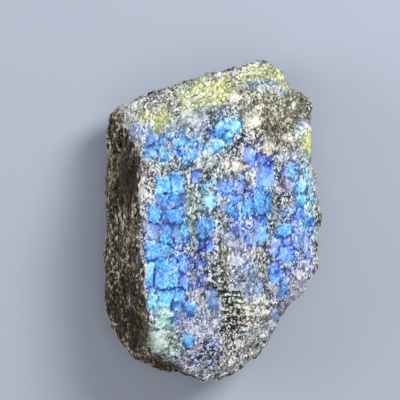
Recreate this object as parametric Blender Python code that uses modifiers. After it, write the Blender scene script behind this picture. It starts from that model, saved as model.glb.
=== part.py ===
"""A rough labradorite chunk, lying on its broad cleaved back with its flashing face up.

Metres, +Z up. X runs across the stone, Y from its blunt toe to its peak, and Z from the resting face to the
flashing face. The origin is the centre of its footprint, on the surface that it lies on.

The stone is one solid. It starts as a slab with the outline of the broken chunk, and is cleaved by flat planes
as a hammer would do it. Then it gets the lumps, ledges and grooves of feldspar that split along its two
cleavages, and is cut flat where it rests.
"""

import itertools
import math

import bmesh
import bpy
import numpy as np
from mathutils import Vector

MM = 0.001

# Driving dimensions, in millimetres.
THICKNESS = 42.0  # from the resting face to the top of the flashing face
BELOW_REST = 7.0  # spare stone under the resting face, cut away at the end
VOXEL = 0.85  # the grain of the mesh that is carved
CARVED_TRIANGLES = 9400  # kept of the carved block; a fifth of them go with the underside that is cut away

# Corners of the widest section, seen from above, clockwise from the left shoulder.
OUTLINE = [
    (-31.0, 32.0),
    (-27.8, 34.6),
    (-8.0, 42.2),
    (1.4, 45.0),
    (7.0, 45.5),
    (10.6, 47.8),
    (14.9, 48.6),
    (18.9, 47.2),
    (22.0, 44.3),
    (23.4, 41.2),
    (29.8, 36.2),
    (30.4, 32.0),
    (30.6, 11.0),
    (31.8, 3.0),
    (31.4, -15.0),
    (27.2, -20.2),
    (21.0, -29.2),
    (17.6, -34.0),
    (16.6, -38.4),
    (7.4, -46.8),
    (-2.8, -49.6),
    (-10.0, -46.6),
    (-18.1, -46.0),
    (-26.3, -42.3),
    (-31.2, -38.9),
    (-31.6, -32.7),
    (-34.2, -25.5),
    (-32.0, -17.8),
    (-33.8, -14.4),
    (-33.6, 0.0),
    (-31.6, 5.7),
    (-33.2, 12.7),
    (-31.8, 20.0),
]

# Cleaved faces: a point on each, the compass direction that it looks towards (0 is +X, 90 is +Y), and its
# tilt away from looking straight up, all in millimetres and degrees. Past 90 the face looks down.
FACES = {
    "broad_flash": ((-8.0, 0.0, 41.0), 200, 3),
    "right_flash": ((14.8, 0.0, 40.2), 355, 17),
    "right_rim": ((26.6, 0.0, 36.0), 0, 58),
    "top_bevel": ((-5.6, 30.4, 39.8), 112, 42),
    "peak_bevel": ((14.0, 38.6, 36.9), 84, 47),
    "brown_shoulder": ((9.0, 29.5, 39.4), 38, 25),
    "dark_side": ((-20.4, 0.0, 39.8), 181, 66),
    "left_corner": ((-20.6, 18.0, 39.8), 146, 42),
    "dark_side_toe": ((-18.6, -34.0, 38.5), 200, 66),
    "dark_toe": ((-14.5, -41.0, 36.0), 247, 72),
    "speckled_slope": ((7.0, -20.0, 39.6), 305, 21),
    "toe_slope": ((-2.0, -38.5, 37.6), 276, 38),
    "right_toe": ((23.0, -23.0, 33.0), 318, 60),
    "under_left": ((-34.0, 0.0, 12.0), 180, 118),
    "under_left_toe": ((-30.0, -38.0, 14.0), 222, 124),
    "under_toe": ((0.0, -49.5, 14.0), 268, 120),
    "under_right_toe": ((23.0, -30.0, 12.0), 318, 122),
    "under_right": ((33.0, 0.0, 15.0), 2, 114),
    "under_peak_right": ((29.0, 40.0, 12.0), 48, 122),
    "under_top": ((0.0, 46.0, 12.0), 108, 117),
    "under_shoulder": ((-30.5, 34.0, 13.0), 150, 125),
}

# Grooves down the flashing face, where thin twin layers have crumbled: x on the line y = 0, the sideways shift
# for each millimetre along Y, the stretch of y, half the width and the depth, in millimetres.
GROOVES = {
    "left_groove": (-5.4, 0.02, -32.0, 15.0, 1.8, 0.9),
    "middle_groove": (3.4, 0.13, -24.0, 4.0, 2.2, 1.1),
    "right_groove": (18.0, 0.155, -24.0, 18.0, 1.5, 1.4),
    "rim_groove": (23.2, 0.1, 2.0, 18.0, 1.2, 0.9),
}
GROOVE_SIDES = (0.4, 1.3)  # where a groove's sides start and end, against half its width
GROOVE_FADE = 2.0  # how far its ends take to rise to the face, to either side of the named y
CROSS_STEP = (17.0, 1.3, 0.8)  # the step across the face: y, half the run that it takes, and its drop

# Relief: the size of its lumps or cells along X, Y and Z, how far it moves the surface, both in millimetres,
# and the seed of its random numbers.
LUMPS = ((21.0, 30.0, 18.0), 1.5, 11)
BLOCKS = ((9.0, 15.0, 9.0), 1.2, 21)
LEDGES = ((4.4, 8.5, 4.4), 0.7, 41)
CHIPS = ((2.4, 4.2, 2.4), 0.35, 61)
BEND = ((7.0, 9.0, 7.0), 1.6, 5)  # how the edges between cells wander
GROOVE_WANDER = ((30.0, 8.0, 30.0), 1.3, 81)  # how grooves and the step stray from their lines
FLASH_CALM = 0.55  # the share of the relief that the flashing face keeps, because it split cleanly
FLASH_FACING = (0.55, 0.85)  # the Z of a normal where the flashing face starts, and where it is itself


def hashed(cells, seed):
    """A number from 0 to 1 for each whole-numbered cell: its three indices mixed by multiply and shift."""
    mixed = (cells.astype(np.int64) * (73856093, 19349663, 83492791)).sum(-1) + seed * 2654435761
    mixed = mixed.astype(np.uint64) & np.uint64(0xFFFFFFFF)
    for shift, factor in ((16, 73244475), (15, 295559667), (16, 1)):
        mixed = ((mixed ^ (mixed >> np.uint64(shift))) * np.uint64(factor)) & np.uint64(0xFFFFFFFF)
    return mixed / float(0xFFFFFFFF)


def lumps(points, size, seed):
    """Smooth relief from -1 to 1: random values on a lattice, blended between its corners by smoothstep."""
    scaled = points / size
    corner = np.floor(scaled)
    part = scaled - corner
    part = part * part * (3 - 2 * part)
    total = np.zeros(len(points))
    for step in itertools.product((0, 1), repeat=3):
        weight = np.where(step, part, 1 - part).prod(-1)
        total += weight * (hashed(corner + step, seed) * 2 - 1)
    return total


def broken(points, size, seed):
    """Stepped relief from about -1 to 1: each point takes the tilted plane of the nearest jittered cell."""
    scaled = points / size
    home = np.floor(scaled)
    nearest = np.full(len(points), np.inf)
    relief = np.zeros(len(points))
    for step in itertools.product((-1, 0, 1), repeat=3):
        cell = home + step
        jitter = np.stack([hashed(cell, seed + k) for k in range(3)], -1)
        tilt = np.stack([hashed(cell, seed + 3 + k) for k in range(3)], -1) - 0.5
        away = scaled - cell - 0.5 - 0.7 * (jitter - 0.5)
        distance = (away * away).sum(-1)
        plane = hashed(cell, seed + 6) * 1.2 - 0.6 + 1.6 * (away * tilt).sum(-1)
        closer = distance < nearest
        nearest = np.where(closer, distance, nearest)
        relief = np.where(closer, plane, relief)
    return relief


def smooth_between(value, low, high):
    """0 below low, 1 above high, and a smooth rise between them."""
    share = np.clip((value - low) / (high - low), 0, 1)
    return share * share * (3 - 2 * share)


def outward(compass, tilt):
    """The unit normal that looks towards a compass direction and leans tilt degrees from straight up."""
    turn, lean = math.radians(compass), math.radians(tilt)
    return Vector((math.cos(turn) * math.sin(lean), math.sin(turn) * math.sin(lean), math.cos(lean)))


def slab():
    """The outline, filled and extruded to the stone's thickness, as a closed bmesh in millimetres."""
    curve = bpy.data.curves.new("slab_outline", "CURVE")
    curve.dimensions = "2D"
    curve.fill_mode = "BOTH"
    curve.extrude = (THICKNESS + BELOW_REST) / 2
    spline = curve.splines.new("POLY")
    spline.points.add(len(OUTLINE) - 1)
    for point, (x, y) in zip(spline.points, OUTLINE):
        point.co = (x, y, 0, 1)
    spline.use_cyclic_u = True
    guide = bpy.data.objects.new("slab_outline", curve)
    bpy.context.scene.collection.objects.link(guide)
    bpy.context.view_layer.update()
    mesh = bpy.data.meshes.new_from_object(guide.evaluated_get(bpy.context.evaluated_depsgraph_get()))
    block = bmesh.new()
    block.from_mesh(mesh)
    bmesh.ops.remove_doubles(block, verts=block.verts, dist=0.001)
    bmesh.ops.translate(block, verts=block.verts, vec=(0, 0, (THICKNESS - BELOW_REST) / 2))
    bmesh.ops.recalc_face_normals(block, faces=block.faces)
    bpy.data.objects.remove(guide)
    bpy.data.meshes.remove(mesh)
    return block


def cleave(block, point, normal):
    """Splits off what lies beyond a plane, and closes the cut with one flat face."""
    everything = block.verts[:] + block.edges[:] + block.faces[:]
    cut = bmesh.ops.bisect_plane(
        block, geom=everything, dist=0.0001, plane_co=point, plane_no=normal, clear_outer=True
    )
    rim = [item for item in cut["geom_cut"] if isinstance(item, bmesh.types.BMEdge)]
    if rim:
        bmesh.ops.holes_fill(block, edges=rim, sides=0)


def modified(mesh, kind, **settings):
    """A new mesh: the given one after a single modifier."""
    holder = bpy.data.objects.new("holder", mesh)
    bpy.context.scene.collection.objects.link(holder)
    modifier = holder.modifiers.new(kind.lower(), kind)
    for name, value in settings.items():
        setattr(modifier, name, value)
    bpy.context.view_layer.update()
    made = bpy.data.meshes.new_from_object(holder.evaluated_get(bpy.context.evaluated_depsgraph_get()))
    bpy.data.objects.remove(holder)
    bpy.data.meshes.remove(mesh)
    return made


def vectors(items, name):
    """One attribute of all vertices as an array of rows of three."""
    values = np.empty(len(items) * 3, np.float32)
    items.foreach_get(name, values)
    return values.reshape(-1, 3).astype(float)


def relief(points, normals):
    """How far each point of the cleaved block moves along its normal, in millimetres."""
    x, y = points[:, 0], points[:, 1]
    facing_up = smooth_between(normals[:, 2], *FLASH_FACING)
    calm = 1 - (1 - FLASH_CALM) * facing_up
    size, reach, seed = BEND
    bent = points + reach * np.stack([lumps(points, size, seed + axis) for axis in range(3)], -1)
    size, reach, seed = LUMPS
    height = reach * calm * lumps(points, size, seed)
    for size, reach, seed in (BLOCKS, LEDGES):
        height += reach * calm * broken(bent, size, seed)
    size, reach, seed = CHIPS
    height += reach * broken(bent, size, seed)
    size, reach, seed = GROOVE_WANDER
    wander = reach * lumps(points, size, seed)
    for start, lean, low, high, half_width, depth in GROOVES.values():
        aside = np.abs(x + wander - start - lean * y) / half_width
        along = smooth_between(y, low - GROOVE_FADE, low + GROOVE_FADE)
        along *= 1 - smooth_between(y, high - GROOVE_FADE, high + GROOVE_FADE)
        height -= depth * facing_up * along * (1 - smooth_between(aside, *GROOVE_SIDES))
    level, run, drop = CROSS_STEP
    height -= drop * facing_up * smooth_between(y + 2 * wander, level - run, level + run)
    return height


def material():
    """Broken labradorite: its blue flash and grey rock in one mean colour, dull with a slight waxy shine."""
    stone = bpy.data.materials.new("rough_labradorite")
    stone.use_nodes = True
    shader = stone.node_tree.nodes["Principled BSDF"]
    shader.inputs["Base Color"].default_value = (0.28, 0.35, 0.44, 1)
    shader.inputs["Roughness"].default_value = 0.5
    shader.inputs["Metallic"].default_value = 0.0
    return stone


def chunk():
    """The finished stone as a mesh in metres, worked out in millimetres and centred on its footprint."""
    block = slab()
    for point, compass, tilt in FACES.values():
        cleave(block, Vector(point), outward(compass, tilt))
    mesh = bpy.data.meshes.new("labradorite_chunk")
    block.to_mesh(mesh)
    block.free()

    mesh = modified(mesh, "REMESH", mode="VOXEL", voxel_size=VOXEL)
    points = vectors(mesh.vertices, "co")
    normals = vectors(mesh.vertices, "normal")
    points += normals * relief(points, normals)[:, None]
    mesh.vertices.foreach_set("co", points.astype(np.float32).ravel())
    mesh.calc_loop_triangles()
    mesh = modified(mesh, "DECIMATE", ratio=CARVED_TRIANGLES / len(mesh.loop_triangles))

    block = bmesh.new()
    block.from_mesh(mesh)
    cleave(block, Vector((0, 0, 0)), Vector((0, 0, -1)))
    corners = np.array([vertex.co for vertex in block.verts])
    middle = (corners.min(0) + corners.max(0)) / 2
    bmesh.ops.translate(block, verts=block.verts, vec=(-middle[0], -middle[1], 0))
    bmesh.ops.scale(block, verts=block.verts, vec=(MM, MM, MM))
    block.to_mesh(mesh)
    block.free()
    mesh.name = "labradorite_chunk"
    return mesh


def main():
    for old in list(bpy.data.objects):
        bpy.data.objects.remove(old)
    stone = bpy.data.objects.new("labradorite_chunk", chunk())
    stone.data.materials.append(material())
    specimen = bpy.data.collections.new("labradorite_specimen")
    bpy.context.scene.collection.children.link(specimen)
    specimen.objects.link(stone)


main()
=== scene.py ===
# %% [markdown]
# # A rough labradorite chunk
# Labradorite is a feldspar. Broken along its cleavages it shows a dull grey rock with panes that flash
# blue, cyan and yellow green, where thin layers inside the crystal throw back one colour. This notebook
# dresses a plain solid of such a chunk: it lies on its cleaved back, with the flashing face up. The solid
# comes from the frame, in metres, with +Z up. All the sums below are in millimetres.

import itertools
import math

import bpy
import numpy as np
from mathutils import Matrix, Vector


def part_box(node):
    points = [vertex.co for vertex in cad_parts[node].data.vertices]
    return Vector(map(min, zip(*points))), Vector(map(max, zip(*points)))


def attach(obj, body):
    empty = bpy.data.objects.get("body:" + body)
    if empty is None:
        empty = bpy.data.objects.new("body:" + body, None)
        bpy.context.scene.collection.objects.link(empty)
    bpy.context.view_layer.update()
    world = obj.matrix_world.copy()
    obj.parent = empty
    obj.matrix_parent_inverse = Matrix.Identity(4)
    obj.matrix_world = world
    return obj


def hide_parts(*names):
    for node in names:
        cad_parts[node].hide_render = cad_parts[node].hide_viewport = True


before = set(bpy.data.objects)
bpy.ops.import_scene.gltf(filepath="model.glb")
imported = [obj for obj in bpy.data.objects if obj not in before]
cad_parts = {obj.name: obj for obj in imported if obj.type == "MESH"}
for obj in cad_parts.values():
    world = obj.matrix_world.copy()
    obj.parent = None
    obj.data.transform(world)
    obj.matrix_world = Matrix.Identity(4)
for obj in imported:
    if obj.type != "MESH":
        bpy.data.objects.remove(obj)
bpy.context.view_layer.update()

MM = 0.001
NODE = "labradorite_chunk"
low_corner, high_corner = (np.array(corner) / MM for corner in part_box(NODE))
SPAN = high_corner - low_corner
print("the chunk measures", SPAN.round(1), "mm")

# %% [markdown]
# ## Noise, as whole arrays
# Broken rock is random at every size, but it has to come out the same on each run. So a random number is a
# sum worked out from the whole-numbered cell that a point lies in, and from a seed, which only has to be
# different for each use. From that come smooth lumps, and the scattered cells that stand for grains and
# chips. Each function takes all the points of the stone at once.

# %% Hashes and lumps
def hashed(cells, seed):
    """A number from 0 to 1 for each whole-numbered cell: its three indices mixed by multiply and shift."""
    mixed = (cells.astype(np.int64) * (73856093, 19349663, 83492791)).sum(-1) + seed * 2654435761
    mixed = mixed.astype(np.uint64) & np.uint64(0xFFFFFFFF)
    for shift, factor in ((16, 73244475), (15, 295559667), (16, 1)):
        mixed = ((mixed ^ (mixed >> np.uint64(shift))) * np.uint64(factor)) & np.uint64(0xFFFFFFFF)
    return mixed / float(0xFFFFFFFF)


def lumps(points, size, seed):
    """Smooth noise from -1 to 1: random values on a lattice, blended between its corners by smoothstep."""
    scaled = points / size
    corner = np.floor(scaled)
    part = scaled - corner
    part = part * part * (3 - 2 * part)
    total = np.zeros(points.shape[:-1])
    for step in itertools.product((0, 1), repeat=3):
        weight = np.where(step, part, 1 - part).prod(-1)
        total += weight * (hashed(corner + step, seed) * 2 - 1)
    return total


print("lumps along a line:", lumps(np.linspace((0, 0, 0), (2, 0, 0), 6), 1.0, 0).round(2))

# %% Scattered cells
SCATTER = 0.8  # how far a cell's centre is moved at random, against the size of a cell
LEVELS, TILTS = 1.2, 1.6  # how far cells differ in height, and how steep their tops are


def grains(points, size, seed):
    """Scattered cells: each box of a lattice has one centre, at random in it, and a point belongs to the
    nearest centre. The fourth powers of the three offsets are added for the distance, which makes the cells
    blocky, like pieces of a crystal that splits two ways at right angles. Gives the centre, the cell's own
    random number, and the height of the cell's tilted plane at the point, from about -1 to 1."""
    scaled = points / size
    home = np.floor(scaled)
    nearest = np.full(points.shape[:-1], np.inf)
    centre = np.zeros(points.shape)
    number = np.zeros(points.shape[:-1])
    plane = np.zeros(points.shape[:-1])
    for step in itertools.product((-1, 0, 1), repeat=3):
        cell = home + step
        jitter = np.stack([hashed(cell, seed + k) for k in range(3)], -1)
        tilt = np.stack([hashed(cell, seed + 3 + k) for k in range(3)], -1) - 0.5
        spot = cell + 0.5 + SCATTER * (jitter - 0.5)
        away = scaled - spot
        gap = (away**2 * away**2).sum(-1)
        closer = gap < nearest
        nearest = np.where(closer, gap, nearest)
        centre = np.where(closer[..., None], spot, centre)
        number = np.where(closer, hashed(cell, seed + 7), number)
        height = LEVELS * (hashed(cell, seed + 6) - 0.5) + TILTS * (away * tilt).sum(-1)
        plane = np.where(closer, height, plane)
    return centre * size, number, plane


print("heights along a line:", grains(np.linspace((0, 0, 0), (2, 0, 0), 6), 1.0, 0)[2].round(2))

# %% [markdown]
# ## A skin of fine quads on the solid
# The real surface has detail down to a third of a millimetre, and the solid's triangles are seven times
# that. A voxel remesh would spread fine quads evenly, and half of them would be wasted underneath. So the
# skin is one grid of quads with two parameters, a from left to right and b from toe to peak. Its middle
# lies over the flashing face, its outer part goes round the edges and down the sides, and its border ends
# at the resting face. First the grid is laid on a smooth guide, a rounded box a little bigger than the
# stone. Then a Shrinkwrap modifier moves it inwards, straight down the guide's normals, to a copy of the
# solid.

# %% The guide
QUADS = 88000  # in the grid; each is two triangles
ROW_SHARE = 0.94  # rows against what length and width alone ask for, because the sides add to both
ALONG = int(math.sqrt(QUADS * SPAN[1] / SPAN[0]) * ROW_SHARE)
ACROSS = QUADS // ALONG
CLEARANCE = 6.0  # from the stone to the guide, mm
WAIST = 0.3 * SPAN[2]  # the height of the widest section, mm
CORNER = 3.4  # the power of the guide's outline seen from above: 2 is an ellipse, 4 nearly a rectangle
SHOULDER = 2.7  # the same for its profile between top and waist
UNDER_SHARE = 0.5  # rings of quads for a millimetre of the side below the waist, against one above it
LOWEST = 0.5  # where the grid's border meets the side, mm above the resting face
PROFILE_POINTS = 300
EASE = 3  # how far the grid's corners are eased apart; lower is further


def guide_points(a, b):
    """The guide's surface for a and b from -1 to 1. The ring number rho is the root of 1 - (1 - a²)(1 - b²):
    0 in the middle and 1 all along the grid's border. Every ring is one superellipse, scaled. A point's
    compass direction on it is that of (a, b) with the corners eased apart. How far out and how high a ring
    lies comes from a profile, a superellipse from the top to the waist and then straight down. The rings'
    steps along the profile are even, but longer below the waist."""
    angle = np.linspace(math.pi / 2, 0, PROFILE_POINTS)
    reach = SPAN[:2] / 2 + CLEARANCE
    top = SPAN[2] + CLEARANCE
    out = np.append(np.cos(angle) ** (2 / SHOULDER), 1.0)
    height = np.append(WAIST + (top - WAIST) * np.sin(angle) ** (2 / SHOULDER), LOWEST)
    pace = np.hypot(np.diff(out) * reach.mean(), np.diff(height))
    pace[-1] *= UNDER_SHARE
    walked = np.append(0, np.cumsum(pace)) / pace.sum()
    rho = np.sqrt(1 - (1 - a * a) * (1 - b * b))
    direction = np.stack((a * np.sqrt(1 - b * b / EASE), b * np.sqrt(1 - a * a / EASE)), -1)
    direction /= np.maximum((np.abs(direction) ** CORNER).sum(-1, keepdims=True) ** (1 / CORNER), 1e-9)
    flat = direction * reach * np.interp(rho, walked, out)[..., None]
    return np.concatenate((flat, np.interp(rho, walked, height)[..., None]), -1)


def grid_faces(rows, columns):
    """The four corner numbers of each quad in a grid, anticlockwise seen from outside."""
    corner = np.arange(rows * columns).reshape(rows, columns)
    return np.stack((corner[:-1, :-1], corner[:-1, 1:], corner[1:, 1:], corner[1:, :-1]), -1).reshape(-1, 4)


def mesh_object(name, points, faces):
    """A mesh object from points in millimetres and faces."""
    mesh = bpy.data.meshes.new(name)
    mesh.from_pydata((np.reshape(points, (-1, 3)) * MM).tolist(), [], faces)
    made = bpy.data.objects.new(name, mesh)
    bpy.context.scene.collection.objects.link(made)
    return made


def evaluated_points(thing):
    """Where an object's vertices are with its modifiers on, in millimetres."""
    seen = thing.evaluated_get(bpy.context.evaluated_depsgraph_get()).to_mesh()
    flat = np.zeros(len(seen.vertices) * 3)
    seen.vertices.foreach_get("co", flat)
    return flat.reshape(-1, 3) / MM


b_grid, a_grid = np.meshgrid(np.linspace(-1, 1, ALONG), np.linspace(-1, 1, ACROSS), indexing="ij")
guide = mesh_object("guide", guide_points(a_grid, b_grid), grid_faces(ALONG, ACROSS).tolist())
print("the grid has", ALONG, "x", ACROSS, "points")

# %% [markdown]
# The solid's mesh is loose triangles, so its copy is welded first. One step of subdivision takes the hard
# edges off those triangles, because the fine relief below brings edges of its own.

# %% Wrapping the grid on the solid
core = bpy.data.objects.new("core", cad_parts[NODE].data.copy())
bpy.context.scene.collection.objects.link(core)
weld = core.modifiers.new("weld", "WELD")
weld.merge_threshold = 0.01 * MM
soften = core.modifiers.new("soften", "SUBSURF")
soften.levels = soften.render_levels = 1
wrap = guide.modifiers.new("wrap", "SHRINKWRAP")
wrap.target = core
wrap.wrap_method = "PROJECT"
wrap.use_negative_direction = True
wrap.use_positive_direction = False
base = evaluated_points(guide).reshape(ALONG, ACROSS, 3)
for helper in (guide, core):
    bpy.data.objects.remove(helper)

normal = np.cross(np.gradient(base, axis=1), np.gradient(base, axis=0))
normal /= np.linalg.norm(normal, axis=-1, keepdims=True)
print("the skin measures", np.ptp(base.reshape(-1, 3), axis=0).round(1), "mm")

# %% [markdown]
# ## The minerals' colours
# A mineral is never one colour up close. Its broken pieces catch the light or hide from it, and a flash
# slides from violet blue through azure to cyan as the layers behind it tilt. So each finish has three
# colours, deep, body and light, and one tone from 0 to 1 picks between them all over the stone. A real
# flash comes and goes as the stone turns. Here it is painted as plain colour, the same from every side.
# After the colours come three amounts: how strongly the grains move the tone, how clear the dark lines
# between chips are, and how many white specks and painted highlights there are.

# %% Finishes
FINISHES = {
    # name: deep, body, light, grain, lines, pale specks and painted highlights
    "royal": ("#222A7C", "#447EEA", "#8CC6FF", 0.64, 0.7, 0.6),
    "azure": ("#2040A0", "#56B2F6", "#9EE6FF", 0.70, 0.7, 0.6),
    "cyan": ("#2C70B0", "#70D4F4", "#DCFFFF", 0.72, 0.6, 0.6),
    "violet": ("#1E2660", "#4866CA", "#9CB2F4", 0.70, 0.8, 0.6),
    "pale_blue": ("#4A66B4", "#88AEEE", "#E0EAFF", 0.48, 0.3, 0.5),
    "steel": ("#2E4670", "#5E8CC6", "#AECEF2", 0.55, 0.3, 0.2),
    "lavender": ("#484C70", "#9498BC", "#EEE8FA", 0.72, 0.3, 0.6),
    "aqua": ("#4E7E88", "#B0D8D4", "#F6FFFC", 0.90, 0.5, 0.6),
    "lime": ("#9CA45E", "#EEF0AC", "#FFFFDE", 0.50, 0.8, 0.2),
    "sage": ("#56624C", "#A4B498", "#EEF6DE", 0.85, 0.4, 0.4),
    "cream": ("#565444", "#BEBCAA", "#FFFFF4", 0.85, 0.3, 0.6),
    "pink_white": ("#383240", "#B2AAB8", "#FFFBFF", 1.2, 0.3, 1.0),
    "flake": ("#60605C", "#DCDCD6", "#FFFFFF", 0.9, 0.3, 0.0),
    "mint": ("#729088", "#D0E6DA", "#FFFFFF", 0.9, 0.5, 0.5),
    "crushed": ("#1B1D1A", "#757A72", "#E4E9E0", 1.0, 0.4, 1.0),
    "brown_grey": ("#302F1C", "#65644E", "#C4C3AD", 0.46, 0.5, 0.5),
    "olive_dark": ("#1E1C10", "#504C3A", "#B6B092", 0.85, 0.4, 0.4),
    "pepper": ("#12140E", "#4E5246", "#E4E6D8", 1.1, 0.4, 1.0),
    "salt": ("#141513", "#7E807C", "#FCFCF8", 1.4, 0.4, 1.2),
    "teal_grey": ("#26343C", "#5E7488", "#C0D0DC", 0.65, 0.2, 0.8),
    "grey_lavender": ("#4A526E", "#909AB8", "#EAEEFC", 0.68, 0.2, 0.9),
    "navy": ("#0E1226", "#444C76", "#D0D4EC", 1.3, 0.3, 1.2),
    "ochre": ("#3E2A0C", "#96742E", "#E2CC94", 0.9, 0.3, 0.3),
    "dark_rock": ("#0B0701", "#463412", "#F8E8C6", 0.5, 0.2, 0.1),
    "tan_rock": ("#140E06", "#706040", "#FCF2D6", 0.6, 0.2, 0.1),
    "dark_glass": ("#130C04", "#3A2A10", "#8A7448", 0.35, 0.1, 0.05),
    # a lighter finish that paints the highlight of a lit ledge on the dark flank
    "painted_ledge_highlight": ("#3C3418", "#9C9060", "#F0E8C0", 0.6, 0.2, 0.0),
    "rust": ("#180D07", "#553A24", "#B48C60", 0.6, 0.2, 0.3),
    "dull_rock": ("#1E1D18", "#68645A", "#C4BEB0", 0.8, 0.3, 0.4),
}
NUMBER = {name: number for number, name in enumerate(FINISHES)}
print(", ".join(FINISHES))

# %% [markdown]
# ## Where each mineral lies
# Two kinds of place. An area is a loose patch of chips: near its rim ever fewer chips belong to it, so that
# areas grow into each other as minerals do. A pane is one cleaved window with a clear edge, a crack around
# it and one tilt. Both are rounded boxes on the face, seen from above: the centre's x and y, half the width
# and half the height in millimetres, and how far they are turned, in degrees. An area ends with the share
# of its chips that it takes, and a pane with its tone.

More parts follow.
